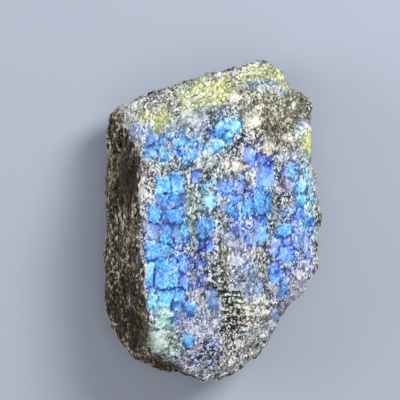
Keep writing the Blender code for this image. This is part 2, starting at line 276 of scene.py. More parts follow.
# %% Areas
AREAS = {
    # name: (x, y, half width, half height, turn), finish, share
    "brown shoulder": ((18.5, 31.0, 11.5, 9.0, -8), "brown_grey", 1.0),
    "shoulder cream": ((11.9, 30.8, 3.0, 3.0, 0), "cream", 0.9),
    "shoulder pale top": ((13.0, 36.8, 2.8, 2.4, 0), "cream", 0.5),
    "shoulder dark": ((19.4, 28.4, 4.2, 3.4, 0), "olive_dark", 0.8),
    "speckled rim": ((-19.6, 36.6, 11.0, 2.6, 24), "salt", 1.0),
    # white flakes along the upper left rim, partly pale flakes and partly a painted highlight on the edge
    "rim flakes and painted highlight": ((-19.6, 36.6, 11.0, 2.6, 24), "flake", 0.34),
    "yellow left": ((-18.2, 30.9, 5.0, 2.6, 8), "lime", 1.0),
    "yellow left cream": ((-17.0, 33.6, 2.6, 1.6, 10), "cream", 0.9),
    "yellow band": ((-1.2, 39.0, 8.6, 5.0, 20), "lime", 1.0),
    "yellow band green": ((-6.6, 38.6, 2.6, 4.0, 20), "sage", 0.6),
    "yellow band pale": ((-1.0, 36.2, 6.0, 2.4, 20), "cream", 0.25),
    "yellow band brow": ((1.4, 43.6, 6.6, 0.9, 20), "flake", 0.5),
    "yellow band foot": ((-3.8, 32.6, 4.5, 1.2, 20), "mint", 0.6),
    "yellow peak": ((15.4, 43.6, 6.6, 3.8, -8), "lime", 0.85),
    "peak mint": ((14.4, 44.2, 4.0, 2.4, 0), "sage", 0.45),
    "peak arc": ((14.4, 41.2, 4.2, 1.3, 6), "teal_grey", 1.0),
    "peak arc blue": ((16.4, 41.4, 3.4, 0.8, 0), "steel", 0.55),
    "peak arc right": ((19.4, 39.8, 3.0, 1.2, -28), "teal_grey", 0.9),
    # the white along the top edge is pale feldspar and a painted highlight on that edge
    "white edge": ((9.1, 47.3, 1.8, 0.9, 25), "pink_white", 1.0),
    "white edge top": ((15.0, 48.6, 2.0, 0.7, 5), "pink_white", 1.0),
    "band gap": ((6.7, 40.4, 1.5, 4.2, 15), "pepper", 0.75),
    "mint wedge": ((-6.3, 30.8, 3.0, 2.4, 0), "mint", 1.0),
    "murk": ((-0.6, 30.4, 4.4, 3.2, 12), "teal_grey", 0.8),
    "murk right": ((5.2, 32.8, 2.2, 3.0, -20), "teal_grey", 0.6),
    "murk dark": ((5.6, 33.2, 2.0, 2.6, -20), "pepper", 0.45),
    "black speckle": ((10.0, 23.6, 5.2, 4.8, -20), "pepper", 0.95),
    "black speckle blue": ((9.6, 22.6, 4.4, 3.6, -20), "navy", 0.5),
    "black speckle foot": ((4.0, 19.4, 4.6, 1.6, 0), "pepper", 0.7),
    "corner dark": ((-23.6, 24.0, 2.6, 5.4, -18), "pepper", 0.6),
    "corner blush": ((-23.6, 24.0, 2.6, 5.4, -18), "pink_white", 0.6),
    "corner flakes": ((-23.6, 25.0, 3.0, 6.4, -18), "flake", 0.55),
    "left mint": ((-14.6, 27.0, 4.4, 1.6, -6), "mint", 0.8),
    "left mint lime": ((-15.2, 27.4, 3.8, 1.2, -6), "lime", 0.7),
    "corner lavender": ((-21.8, 27.4, 3.0, 1.7, 0), "pale_blue", 0.75),
    "upper blue left": ((-18.0, 22.0, 2.2, 3.6, 0), "azure", 0.85),
    "upper blue": ((-8.2, 21.8, 6.8, 4.8, 0), "azure", 0.85),
    "upper royal": ((-9.5, 22.4, 6.0, 3.6, 0), "royal", 0.25),
    "upper cyan": ((-10.5, 21.6, 8.6, 4.2, 0), "cyan", 0.33),
    "upper mint": ((-2.9, 18.4, 1.6, 1.8, 0), "aqua", 0.7),
    "upper white": ((-10.5, 22.0, 8.0, 4.2, 0), "pink_white", 0.18),
    "upper cracks": ((-10.5, 21.6, 8.0, 4.2, 0), "navy", 0.1),
    "upper lavender": ((-4.6, 26.6, 2.6, 1.6, 0), "lavender", 0.6),
    "comb": ((4.0, 25.4, 2.4, 5.8, -37), "azure", 1.0),
    "comb gap": ((-1.7, 25.2, 0.7, 2.6, -8), "pepper", 0.9),
    "comb bright": ((4.2, 25.4, 2.0, 5.4, -37), "cyan", 0.7),
    "left cream ledge": ((-17.8, 17.0, 3.6, 1.5, 0), "cream", 0.9),
    "cross crushed": ((-8.0, 14.8, 7.0, 2.6, 0), "pepper", 0.85),
    "cream ledge": ((7.3, 16.4, 5.0, 2.0, 0), "cream", 0.95),
    "cream ledge flakes": ((7.0, 16.4, 4.8, 1.9, 0), "flake", 0.85),
    "cyan chips": ((2.2, 13.6, 2.0, 3.0, 0), "cyan", 0.5),
    "left blush": ((-19.4, 8.6, 2.5, 7.4, 4), "pink_white", 0.95),
    "left blush specks": ((-18.4, 8.6, 1.6, 6.4, 4), "pepper", 0.35),
    "left blush low": ((-19.8, -6.6, 1.1, 5.6, 0), "pink_white", 0.85),
    "left blush toe": ((-19.3, -21.0, 1.3, 6.6, 0), "pink_white", 0.7),
    "left flakes": ((-19.6, 10.0, 2.2, 6.0, 0), "flake", 0.2),
    "column a crown": ((-12.2, 7.4, 3.7, 5.6, 0), "azure", 0.9),
    "column a blue": ((-12.8, -12.4, 6.0, 15.0, 0), "azure", 0.9),
    "column a royal": ((-12.6, -9.4, 5.0, 18.4, 0), "royal", 0.4),
    "column a flecks": ((-12.8, -9.4, 6.0, 18.4, 0), "pale_blue", 0.12),
    "column a violet": ((-8.8, 4.6, 1.4, 5.0, 0), "violet", 0.5),
    "column a sill": ((-9.6, -9.9, 3.2, 0.9, 0), "pink_white", 0.7),
    "olive streak": ((-6.4, 3.8, 1.6, 6.0, 0), "sage", 0.7),
    "middle specks": ((-3.0, 8.6, 3.2, 3.6, 0), "pepper", 0.6),
    "middle cyan": ((-2.4, 8.2, 2.8, 3.2, 0), "cyan", 0.5),
    "star rays": ((-0.6, 5.4, 2.8, 3.0, 0), "cyan", 0.55),
    "star foot": ((-0.2, 1.8, 1.4, 1.6, 0), "pink_white", 0.7),
    "middle blue": ((9.2, 3.4, 5.6, 9.2, 0), "royal", 0.85),
    "middle azure": ((9.4, 2.8, 5.2, 8.4, 0), "azure", 0.35),
    "middle pale": ((8.6, 3.4, 6.4, 9.0, 0), "pale_blue", 0.2),
    "middle white": ((8.6, 3.4, 6.4, 9.0, 0), "pink_white", 0.07),
    "middle cream": ((11.6, 11.8, 2.0, 2.2, 0), "cream", 0.8),
    "middle pepper": ((3.4, -1.2, 1.8, 4.0, 0), "pepper", 0.7),
    "middle steel": ((7.4, -3.4, 3.4, 3.0, 0), "pale_blue", 0.5),
    "middle groove": ((2.2, -6.5, 1.1, 8.0, 0), "pepper", 0.9),
    "low violet": ((-4.6, -16.2, 5.8, 5.4, 0), "violet", 0.75),
    "pepper groove": ((1.6, -14.0, 3.2, 10.0, 3), "pepper", 0.9),
    "cream lode": ((5.6, -11.6, 2.0, 4.2, 6), "cream", 0.9),
    "cream lode flakes": ((5.6, -12.0, 1.6, 3.2, 8), "flake", 0.65),
    "low lavender": ((9.4, -9.6, 2.4, 4.4, 0), "lavender", 0.6),
    "right cream": ((13.4, -9.4, 2.2, 2.6, 0), "cream", 0.7),
    "low pale": ((9.4, -14.2, 2.2, 1.8, 0), "pale_blue", 0.6),
    "low royal": ((8.8, -12.2, 2.4, 2.4, 0), "royal", 0.35),
    "low mint": ((13.2, -14.4, 1.3, 1.4, 0), "aqua", 0.7),
    "slope veil": ((10.8, -14.0, 4.6, 7.6, 0), "grey_lavender", 0.55),
    "teal slope": ((12.2, -19.6, 3.6, 4.2, 0), "teal_grey", 0.75),
    "pink chip": ((-5.2, -23.2, 2.4, 2.2, 0), "pink_white", 0.8),
    "lavender slope": ((-3.4, -30.6, 4.6, 6.2, 0), "grey_lavender", 0.95),
    "lavender chips": ((-7.2, -31.0, 1.8, 3.4, 0), "lavender", 0.7),
    "black lace": ((7.0, -30.8, 3.8, 8.0, 0), "salt", 1.0),
    "beige ledge": ((12.4, -27.0, 3.6, 3.0, 0), "cream", 0.9),
    "beige flakes": ((12.0, -25.6, 3.2, 2.2, 0), "flake", 0.4),
    "ochre spot": ((13.0, -29.4, 1.4, 1.1, 0), "ochre", 0.9),
    "toe cream": ((13.6, -33.6, 4.4, 4.0, 30), "cream", 0.45),
    "toe lavender": ((10.9, -33.5, 1.5, 1.3, 0), "lavender", 0.9),
    "toe aqua": ((13.4, -33.4, 1.3, 1.3, 0), "aqua", 0.8),
    "toe shade": ((0.6, -35.2, 7.4, 2.0, 0), "navy", 0.3),
    "navy toe": ((-1.2, -40.4, 4.4, 3.8, 0), "navy", 1.0),
    "navy toe chips": ((-2.0, -40.4, 3.6, 3.4, 0), "royal", 0.22),
    "toe salt": ((7.4, -40.6, 4.6, 5.0, 0), "salt", 0.9),
    "toe flakes": ((10.8, -37.8, 2.8, 2.8, 0), "flake", 0.4),
    "toe blush": ((-6.4, -44.6, 4.6, 3.4, -20), "lavender", 0.7),
    "toe ochre": ((-5.6, -44.8, 1.2, 1.0, 0), "ochre", 0.8),
    "toe rust": ((5.6, -46.4, 5.6, 1.3, 6), "rust", 0.5),
    "toe pebbles": ((6.0, -42.4, 4.6, 2.6, 0), "flake", 0.2),
    "aqua toe": ((-14.6, -29.6, 3.4, 4.2, 0), "cyan", 0.4),
    "white toe": ((-17.0, -36.6, 2.3, 3.0, 0), "mint", 0.85),
    "sage toe": ((-12.8, -35.4, 2.4, 2.6, 0), "sage", 0.85),
    "sage low": ((-11.4, -40.2, 2.6, 3.4, 0), "aqua", 0.55),
    "toe dark specks": ((-9.6, -34.0, 1.4, 2.4, 0), "navy", 0.7),
    "right groove": ((18.1, -2.0, 1.5, 19.0, -8.7), "pepper", 0.95),
    "right groove veil": ((19.0, 6.0, 1.5, 9.0, -8.7), "grey_lavender", 0.33),
    "column d lavender": ((24.0, 15.0, 4.0, 5.6, 0), "lavender", 0.7),
    "column d crushed": ((24.2, 0.4, 2.2, 3.8, 0), "grey_lavender", 0.7),
    "column d violet": ((25.5, 0.6, 3.6, 5.6, 0), "violet", 0.25),
    "column d blue": ((25.6, -5.0, 4.6, 8.6, 0), "royal", 0.5),
    "column d pale": ((26.5, -8.0, 4.0, 8.6, 0), "pale_blue", 0.5),
    "rim glow": ((29.0, 7.0, 2.6, 9.4, -3), "aqua", 0.8),
    "rim glow cyan": ((28.4, 7.6, 2.4, 8.6, -3), "cyan", 0.5),
    # white flakes along the right edge, partly pale flakes and partly a painted highlight on the edge
    "rim glow white": ((28.6, 8.6, 1.8, 10.0, -3), "flake", 0.15),
    "rim turquoise": ((27.6, 13.0, 1.8, 5.6, 0), "cyan", 0.6),
    "rim lime": ((29.2, 24.2, 1.6, 4.6, 0), "lime", 0.9),
    "rim mint": ((26.6, 26.2, 1.4, 2.0, 0), "aqua", 0.8),
    "rim white": ((30.4, 5.4, 1.5, 5.2, 0), "flake", 0.3),
    "rim azure chips": ((29.0, 3.0, 2.2, 8.0, 0), "azure", 0.35),
    "right grains": ((26.6, -18.6, 5.0, 6.6, -10), "lavender", 0.85),
    "right flakes": ((27.4, -16.6, 5.0, 7.0, -10), "flake", 0.3),
    "right royal": ((27.4, -12.2, 3.0, 4.4, 0), "royal", 0.4),
    "right groove foot": ((16.8, -20.2, 1.1, 3.4, -8), "pepper", 0.8),
    "teal slope dark": ((11.8, -19.2, 3.4, 4.2, 0), "navy", 0.22),
    "teal slope blue": ((11.8, -19.2, 3.4, 4.2, 0), "steel", 0.3),
}

# %% Panes
PANES = {
    # name: (x, y, half width, half height, turn), finish, tone
    "crown left": ((-14.2, 10.5, 1.9, 2.4, 0), "azure", 0.75),
    "crown right": ((-10.4, 10.5, 1.8, 2.4, 0), "azure", 0.68),
    "second": ((-12.6, 5.7, 3.5, 2.1, 0), "azure", 0.32),
    "third left": ((-17.2, 2.0, 2.1, 2.5, 0), "azure", 0.58),
    "third right": ((-12.0, 1.6, 2.9, 1.9, 0), "azure", 0.45),
    "fourth left": ((-17.3, -3.6, 1.8, 2.4, 0), "pale_blue", 0.55),
    "fourth middle": ((-13.3, -4.0, 1.9, 2.5, 0), "azure", 0.40),
    "fourth right": ((-10.1, -4.2, 1.2, 2.4, 0), "steel", 0.55),
    "fourth bead": ((-8.1, -2.6, 1.0, 1.7, 0), "cyan", 0.40),
    "fifth": ((-16.1, -9.0, 3.0, 2.7, 0), "azure", 0.60),
    "great window": ((-13.5, -15.8, 3.4, 4.4, 0), "azure", 0.56),
    "window left": ((-18.2, -16.2, 1.2, 3.6, 0), "azure", 0.70),
    "window right": ((-8.7, -12.9, 1.2, 2.4, 0), "royal", 0.80),
    "window right low": ((-8.7, -18.0, 1.1, 2.3, 0), "royal", 0.60),
    "sixth": ((-14.2, -23.2, 2.3, 2.5, 0), "cyan", 0.50),
    "sixth right": ((-9.8, -22.2, 1.5, 1.8, 0), "azure", 0.55),
    "sixth low": ((-10.4, -25.6, 1.5, 1.4, 0), "azure", 0.30),
    "seventh": ((-14.7, -27.6, 2.5, 1.3, 0), "aqua", 0.58),
    "seventh right": ((-11.0, -28.4, 0.9, 1.5, 0), "steel", 0.55),
    "eighth": ((-14.4, -30.8, 2.2, 1.8, 0), "aqua", 0.42),
    "eighth left": ((-17.8, -24.0, 1.3, 2.2, 0), "cyan", 0.60),
    "ninth": ((-16.0, -36.0, 2.2, 2.6, 0), "mint", 0.56),
    "blue bead": ((-6.5, -26.6, 1.0, 1.8, 0), "azure", 0.45),
    "toe bead": ((-6.8, -36.1, 1.2, 1.7, 0), "azure", 0.60),
    "middle top": ((-4.7, 12.9, 0.9, 1.6, 0), "royal", 0.70),
    "cyan star": ((-0.4, 5.4, 1.4, 1.5, 10), "cyan", 0.70),
    "middle pane": ((-1.8, -2.2, 2.1, 2.4, 0), "azure", 0.48),
    "middle sill": ((-2.9, -5.3, 1.2, 1.0, 0), "azure", 0.60),
    "middle low": ((-0.8, -7.5, 1.0, 1.9, 0), "royal", 0.62),
    "middle low left": ((-3.0, -7.7, 1.1, 1.1, 0), "royal", 0.50),
    "slope oval": ((0.0, -23.8, 1.3, 2.4, 0), "steel", 0.62),
    "upper left chip": ((-17.6, 24.0, 1.3, 1.2, 0), "royal", 0.80),
    "upper wedge": ((-14.2, 18.6, 1.3, 1.0, 0), "cyan", 0.45),
    "upper left pane": ((-18.2, 20.2, 1.4, 1.2, 0), "azure", 0.70),
    "upper pane": ((-6.4, 19.4, 1.3, 1.4, 15), "azure", 0.65),
    "upper middle": ((-8.6, 23.4, 1.8, 1.1, 20), "azure", 0.62),
    "comb azure": ((2.4, 26.3, 1.6, 1.9, -37), "azure", 0.62),
    "comb crest": ((6.4, 27.9, 1.4, 2.2, -37), "cyan", 0.68),
    "comb side": ((4.9, 24.8, 1.1, 1.7, -37), "cyan", 0.50),
    "comb foot": ((1.7, 22.4, 1.4, 1.9, -25), "cyan", 0.72),
    "comb royal": ((-0.2, 25.8, 0.8, 1.4, -10), "royal", 0.40),
    "blue oval": ((11.4, 18.9, 1.5, 2.3, -14), "royal", 0.72),
    "blue wedge": ((15.5, 18.2, 2.2, 1.2, -25), "royal", 0.42),
    "lode head": ((16.1, 13.6, 2.1, 3.0, 0), "royal", 0.78),
    "lode body": ((14.6, 5.0, 1.3, 3.5, 0), "azure", 0.48),
    "lode side": ((16.6, 4.6, 0.8, 3.5, 0), "azure", 0.35),
    "lode foot": ((14.5, -2.4, 1.8, 3.2, 0), "azure", 0.42),
    "middle bright": ((11.2, 3.5, 1.3, 2.3, 0), "azure", 0.58),
    "middle mark": ((6.3, 2.0, 1.1, 2.3, 0), "azure", 0.42),
    "middle mark top": ((6.8, 5.9, 1.2, 1.4, 0), "royal", 0.65),
    "middle chip": ((10.8, 8.0, 1.1, 1.0, 0), "royal", 0.65),
    "middle chip two": ((3.8, 10.0, 1.7, 1.6, 0), "royal", 0.60),
    "middle chip three": ((8.4, 9.9, 1.1, 1.5, 0), "royal", 0.65),
    "middle chip low": ((11.2, -5.2, 1.0, 1.0, 0), "azure", 0.50),
    "rim streak": ((24.4, 14.1, 0.8, 2.4, 22), "azure", 0.65),
    "rim chip": ((22.0, 14.4, 1.0, 1.0, 0), "royal", 0.70),
    "rim cyan": ((26.6, 9.9, 1.8, 2.1, 0), "cyan", 0.66),
    "rim lavender": ((23.3, 10.2, 1.3, 1.8, 0), "lavender", 0.50),
    "rim azure": ((26.8, 6.0, 1.3, 2.1, -10), "cyan", 0.46),
    "rim royal": ((26.3, 1.7, 1.0, 2.1, -18), "royal", 0.65),
    "d azure": ((21.4, -3.3, 1.8, 1.5, 0), "azure", 0.55),
    "d deep": ((22.6, -6.4, 1.5, 1.4, 0), "royal", 0.45),
    "d royal": ((22.4, -10.0, 2.1, 2.2, 0), "royal", 0.68),
    "d pale": ((19.3, -8.1, 1.2, 2.5, 0), "pale_blue", 0.60),
    "d low": ((19.0, -15.7, 1.5, 2.6, 0), "royal", 0.80),
    "d low chip": ((22.4, -15.8, 0.8, 1.1, 0), "royal", 0.35),
    "d toe": ((21.1, -20.6, 1.0, 2.3, 0), "azure", 0.42),
    "rim low azure": ((29.4, -0.8, 1.5, 1.1, 0), "azure", 0.55),
    "pale wedge": ((22.6, 24.3, 1.7, 1.4, 20), "cream", 0.55),
    "cream wedge": ((6.2, 36.2, 2.3, 1.3, 35), "cream", 0.52),
    "shoulder patch": ((11.2, 30.6, 2.4, 2.6, 15), "cream", 0.44),
    "shoulder facet": ((14.4, 34.2, 1.2, 0.9, 20), "cream", 0.62),
    "shoulder chip": ((18.9, 32.2, 0.8, 0.9, 0), "cream", 0.60),
    "shoulder low": ((16.8, 21.8, 1.4, 1.8, -15), "cream", 0.55),
    "shoulder far": ((25.0, 34.2, 0.8, 0.9, 0), "cream", 0.62),
    "shoulder rim": ((28.0, 29.2, 0.9, 1.6, 0), "lavender", 0.62),
    "toe chip": ((19.2, -28.6, 1.1, 1.1, 0), "pale_blue", 0.60),
    "ledge left": ((4.3, 16.6, 1.1, 0.8, 0), "cream", 0.80),
    "ledge right": ((7.9, 16.2, 1.7, 1.1, 0), "cream", 0.85),
    "murk bead": ((4.3, 33.2, 0.6, 0.5, 0), "royal", 0.60),
}
print(len(AREAS), "areas and", len(PANES), "panes")

# %% [markdown]
# ## Giving the chips to the minerals
# The face is cut into chips about the size of a grain of rice split in four. Each chip belongs to one
# mineral as a whole, which gives the ragged edges that a painted gradient would not have. Only the numbers
# of the finishes are stored here. They become colours at the end.

# %% Chips
CHIP = (1.1, 1.7, 1.1)  # size of a chip across X, Y and Z, mm
CRUMB = (0.6, 0.8, 0.6)  # size of the crumbs that fray the panes' edges, mm
WANDERS = [((2.4, 3.2, 2.4), 0.5, 11), ((0.9, 1.2, 0.9), 0.25, 14)]  # how edges stray: size, reach, seed

spots = base.copy()
for size, reach, seed in WANDERS:
    spots += reach * np.stack([lumps(base, size, seed + k) for k in range(3)], -1)
chip_centre, chip_number, chip_plane = grains(spots, CHIP, 21)
crumb_number, crumb_plane = grains(spots, CRUMB, 25)[1:]
chip_share = chip_number - 0.5
crumb_share = crumb_number - 0.5
on_top = base[..., 2] > WAIST
print(round(on_top.mean() * 100), "% of the skin lies above the waist")

# %% [markdown]
# An area's outline is a superellipse, which goes from an ellipse to a box with one number. Where no area
# lies, the rock is crushed feldspar, with clouds of lavender grey and of nearly black.

# %% Areas on the face
AREA_FADE = (0.8, 1.3)  # where fewer chips start to belong to an area, and where none do
CHIP_KEY = 97  # brings a chip's centre to whole numbers of its own
VEIL, VEIL_FRAY = (6.0, 9.0, 6.0), 0.6  # size of the clouds in the crushed rock, mm, and how ragged they are
LAVENDER_VEIL, DARK_VEIL = 0.4, -0.45  # above the first the rock is lavender grey, below the other dark
CLOUD = (4.5, 6.5, 4.5)  # size of the lighter and darker clouds over everything, mm
CHIP_TONE, CLOUD_TONE = 0.24, 0.18  # how far tones differ from chip to chip, and from cloud to cloud


def smooth_between(value, low, high):
    """0 below low, 1 above high, and a smooth rise between them."""
    share = np.clip((value - low) / (high - low), 0, 1)
    return share * share * (3 - 2 * share)


def reach_of(points, place, corner=4):
    """How far points lie from a place's centre, counted so that its edge is at 1: the two turned offsets,
    each against its half size, are raised to the power corner and added, and the root is taken. The higher
    the power, the sharper the place's corners."""
    x, y, half_width, half_height, turn = place
    turn = math.radians(turn)
    east, north = points[..., 0] - x, points[..., 1] - y
    across = np.abs(east * math.cos(turn) + north * math.sin(turn)) / half_width
    along = np.abs(north * math.cos(turn) - east * math.sin(turn)) / half_height
    return (across**corner + along**corner) ** (1 / corner)


def paint_areas(areas, allowed, seed):
    """Gives chips to areas, one area after another. A chip is taken if its own random number is under the
    area's share, which falls smoothly to nothing across the area's edge."""
    for number, (place, name, share) in enumerate(areas.values()):
        inside = 1 - smooth_between(reach_of(chip_centre, place), *AREA_FADE)
        draw = hashed(np.floor(chip_centre * CHIP_KEY), seed + number)
        finish[(draw < share * inside) & allowed] = NUMBER[name]


finish = np.full(base.shape[:2], NUMBER["crushed"])
veil = lumps(base, VEIL, 22) + VEIL_FRAY * chip_share
finish[veil > LAVENDER_VEIL] = NUMBER["grey_lavender"]
finish[veil < DARK_VEIL] = NUMBER["pepper"]
tone = 0.5 + CHIP_TONE * chip_share + CLOUD_TONE * lumps(base, CLOUD, 23)
paint_areas(AREAS, on_top, 100)
print(len(np.unique(finish)), "finishes on the face")

# %% [markdown]
# ## Laying the panes
# Two panes that meet share a crack halfway between them, so each point looks for the nearest and the second
# nearest pane. Crumbs at a pane's edge belong to it or not at random. Inside, a pane leans a little one
# way: that lifts its surface, and slides its tone from a brighter side to a darker one.

# %% Which pane a point is in
PANE_CORNER = 7  # the power of the panes' outlines, nearly square
PANE_LIMIT = 1.25  # how far a pane reaches where no neighbour stops it, against its half size
FRAY, CRUMB_FRAY = ((1.5, 2.0, 1.5), 0.12), 0.3  # how that edge strays: size in mm and share, and by crumbs
CRACK_WIDTH = 0.16  # half the width of a crack, mm
HEALED = ((2.6, 3.4, 2.6), -0.8, 0.0)  # cracks come and go with lumps of this size, from nothing to open
CALM_FROM, CALM_FULL = -0.2, 0.6  # how far inside its edge a pane starts to be smooth, and is so wholly, mm

places, pane_finishes, pane_tones = (np.array(column) for column in zip(*PANES.values()))
reaches = np.stack([reach_of(spots, place, PANE_CORNER) for place in places])
order = np.argpartition(reaches, 1, axis=0)[:2]
first, second = np.take_along_axis(reaches, order, axis=0)
pane = order[0]
pane_size = np.sqrt(places[:, 2] * places[:, 3])[pane]
limit = PANE_LIMIT + FRAY[1] * lumps(base, FRAY[0], 17) + CRUMB_FRAY * crumb_share
in_pane = (first < limit) & on_top
between = (second - first) / 2 * pane_size
gap = np.minimum(between, (PANE_LIMIT - first) * pane_size)
crack = np.exp(-((between / CRACK_WIDTH) ** 2)) * in_pane
crack *= smooth_between(lumps(base, HEALED[0], 18), *HEALED[1:])
calm = in_pane * smooth_between(gap, CALM_FROM, CALM_FULL)
print(round(in_pane.mean() * 100), "% of the skin is panes")

# %% The panes' tones
LEAN_TONE = 0.45  # from a pane's middle to an edge that it leans to
INNER_TONE, INNER_CLOUD = 0.13, (1.6, 2.4, 1.6)  # of the clouds inside a pane, and their size, mm
RIM_TONE, RIM_WIDTH = 0.14, 0.7  # how much darker a pane is along its edge, and how wide that is, mm
DIM = 0.02  # how much darker every pane is than its tone in the table
shift, lean_x, lean_y = (hashed(pane[..., None] * (1, 0, 0) + (0, 0, k), 41) - 0.5 for k in range(3))
offset = (base[..., :2] - places[pane, :2]) / pane_size[..., None]
slope = offset[..., 0] * lean_x + offset[..., 1] * lean_y
inner_tone = pane_tones[pane] - DIM + LEAN_TONE * slope + CHIP_TONE / 2 * chip_share
inner_tone += INNER_TONE * lumps(base, INNER_CLOUD, 19)
inner_tone -= RIM_TONE * np.exp(-((np.maximum(gap, 0) / RIM_WIDTH) ** 2))
finish[in_pane] = np.array([NUMBER[name] for name in pane_finishes])[pane[in_pane]]
tone[in_pane] = inner_tone[in_pane]
print("the panes' mean tone is", inner_tone[in_pane].mean().round(2))

# %% [markdown]
# ## The dark side face
# The left flank is the cut through the rock that does not flash: a dark mass with short tan fibres along Y,
# smooth as glass in places and rusty where water stood. Its upper edge is a line drawn through listed
# points.
# The other flanks are dull rock. They have no places of their own, so lumps of noise tell where they turn
# brown or dark.

# %% Flanks
DARK_EDGE = [(36, -29), (31, -27.6), (28, -25.8), (24, -24.0), (20, -22.0), (16, -20.8), (9, -21.5),
             (5, -22.5), (1, -21), (-6, -22), (-11, -21), (-16, -19.8), (-22, -20.6), (-28, -18.8),
             (-35, -19.2), (-39, -18), (-42, -14), (-45, -9), (-48, -4)]  # y, x of the upper edge
FLANK_AREAS = {
    "tan middle": ((-28.6, -5.6, 4.6, 9.5, 0), "tan_rock", 0.7),
    "tan low": ((-30.0, -18.0, 2.6, 5.0, -25), "tan_rock", 0.5),
    "tan high": ((-27.6, 17.0, 1.8, 4.0, 0), "tan_rock", 0.5),
    "glass top": ((-27.0, 25.5, 3.4, 4.0, 0), "dark_glass", 0.5),
    "glass high": ((-25.0, 12.4, 3.4, 6.4, 0), "dark_glass", 1.0),
    "glass middle": ((-25.8, -21.5, 2.4, 5.4, -15), "dark_glass", 0.7),
    "glass low": ((-25.6, -32.0, 4.2, 5.6, 10), "dark_glass", 0.6),
    # the pale spot is a painted highlight, where a ledge of the flank catches the light
    "pale spot": ((-32.6, 12.6, 2.0, 2.4, 0), "painted_ledge_highlight", 1.0),
    "rust spot high": ((-32.0, 16.6, 1.2, 1.8, 0), "rust", 0.9),
    "rust spot": ((-31.6, 9.2, 1.2, 1.6, 0), "rust", 0.9),
    "rust margin": ((-23.2, -9.0, 1.9, 6.6, 0), "rust", 0.9),
    "rust low": ((-21.4, -28.4, 2.0, 1.6, 0), "ochre", 0.6),
    "rust foot": ((-19.0, -44.0, 7.5, 3.0, -28), "rust", 0.55),
}
FACING_OUT = 0.12  # a point whose normal rises less than this is on a flank
LIMIT_STRAYS = [((4.0, 4.0, 4.0), 0.12, 61)]  # how that limit strays: size in mm, strength and seed
PATCHES = [((9.0, 9.0, 7.0), 1.0, 62), ((3.0, 3.0, 3.0), 0.4, 63)]  # patches on dull rock, in the same way
PATCH_FRAY = 0.5  # how ragged their edges are
BROWN_PATCH, DARK_PATCH = 0.35, -0.45  # above the first, dull rock is brown; below the other, it is dark


def layered(points, layers):
    """Lumps of several sizes, added up. A layer is its size in mm, its strength and its seed."""
    return sum(strength * lumps(points, size, seed) for size, strength, seed in layers)


edge_y, edge_x = np.array(DARK_EDGE[::-1], float).T
left = base[..., 0] < 0
dark = (np.interp(spots[..., 1], edge_y, edge_x) > spots[..., 0]) & left
bevel = left & ~dark & (base[..., 1] < DARK_EDGE[0][0]) & on_top  # however steep, it is face and no flank
side = (normal[..., 2] + layered(base, LIMIT_STRAYS) < FACING_OUT) & ~bevel
patches = layered(base, PATCHES) + PATCH_FRAY * chip_share
finish[side] = NUMBER["dull_rock"]
finish[side & (patches > BROWN_PATCH)] = NUMBER["tan_rock"]
finish[side & (patches < DARK_PATCH)] = NUMBER["olive_dark"]
finish[dark] = NUMBER["dark_rock"]
paint_areas(FLANK_AREAS, dark, 300)
flank = dark | side
print(round(dark.mean() * 100), "% of the skin is the dark flank,", round(flank.mean() * 100), "% any flank")

# %% [markdown]
# Fibres grow in clumps, thick in one place and sparse in the next. Where they are thick, the rock is also a
# little lighter. Brown rock has them evenly, and glassy rock hardly any.

# %% Fibres
CLUMPS = [((4.0, 6.0, 4.0), 1.0, 64), ((1.5, 3.0, 1.8), 0.6, 65)]  # size in mm, strength and seed
THIN, THICK = -0.3, 0.9  # where these make the fewest fibres, and where the most
TAN_LEAST, TAN_MORE = 0.34, 0.34  # the range of that in brown rock, which goes from 0 to 1 elsewhere
FLANK_TONE, CLUMP_TONE, FLANK_CHIP_TONE = 0.19, 0.3, 0.2  # at the least, more in a clump, and chip to chip
FIBRES = {"glassy": (0.12, 0.0), "dark": (0.25, 1.1), "dull": (0.35, 0.4)}  # at the least, more in a clump

clumps = smooth_between(layered(spots, CLUMPS), THIN, THICK)
clumps = np.where(finish == NUMBER["tan_rock"], TAN_LEAST + TAN_MORE * clumps, clumps)
tone[flank] = (FLANK_TONE + CLUMP_TONE * clumps + FLANK_CHIP_TONE * chip_share)[flank]
glassy = dark & (finish == NUMBER["dark_glass"])
fibre = np.select([glassy, dark, side], [least + more * clumps for least, more in FIBRES.values()])
for layer in (calm, crack):
    layer[flank] = 0
print("mean amount of fibres on the dark flank:", fibre[dark].mean().round(2))

# %% [markdown]
# ## Relief
# Cells whose tops are tilted planes look like broken rock. They come in several sizes: blocks and crumbs on
# the crushed rock, ledges and long splinters on the fibrous flank. Panes stay nearly flat, each with its
# own lean and level, and cracks are cut between them. Near the toe, thin twin layers of the crystal stand
# out as rungs. Hollows also get painted shade, a deeper tone, and crests a painted highlight, a lighter one,
# so the relief reads in flat light.

# %% Relief
BLOCKS = ((1.9, 2.6, 1.9), 0.34, 71)  # size of broken pieces and how high they stand, mm, and their seed
LEDGES = ((4.4, 8.0, 4.4), 0.7, 75)  # the same for the ledges of the flanks
SPLINTERS = ((1.6, 5.5, 1.6), 0.36, 73)
NEEDLES = ((0.8, 2.6, 0.8), 0.16, 74)
CHIP_HEIGHT, CRUMB_HEIGHT, CALM_CHIP_HEIGHT = 0.17, 0.09, 0.05  # mm
LEAN_HEIGHT, LEVEL_HEIGHT = 0.34, 0.3  # how far panes lean and differ in level, mm
CRACK_DEPTH = 0.22  # mm

rough = (1 - calm) * ~flank
relief = CHIP_HEIGHT * rough * chip_plane + CRUMB_HEIGHT * (rough + flank) * crumb_plane
for (size, height, seed), ground in ((BLOCKS, rough), (LEDGES, flank), (SPLINTERS, flank), (NEEDLES, flank)):
    relief += height * ground * grains(spots, size, seed)[2]
relief += calm * (LEAN_HEIGHT * slope + LEVEL_HEIGHT * shift + CALM_CHIP_HEIGHT * chip_plane)
relief -= CRACK_DEPTH * crack
print("relief from", relief.min().round(2), "to", relief.max().round(2), "mm")

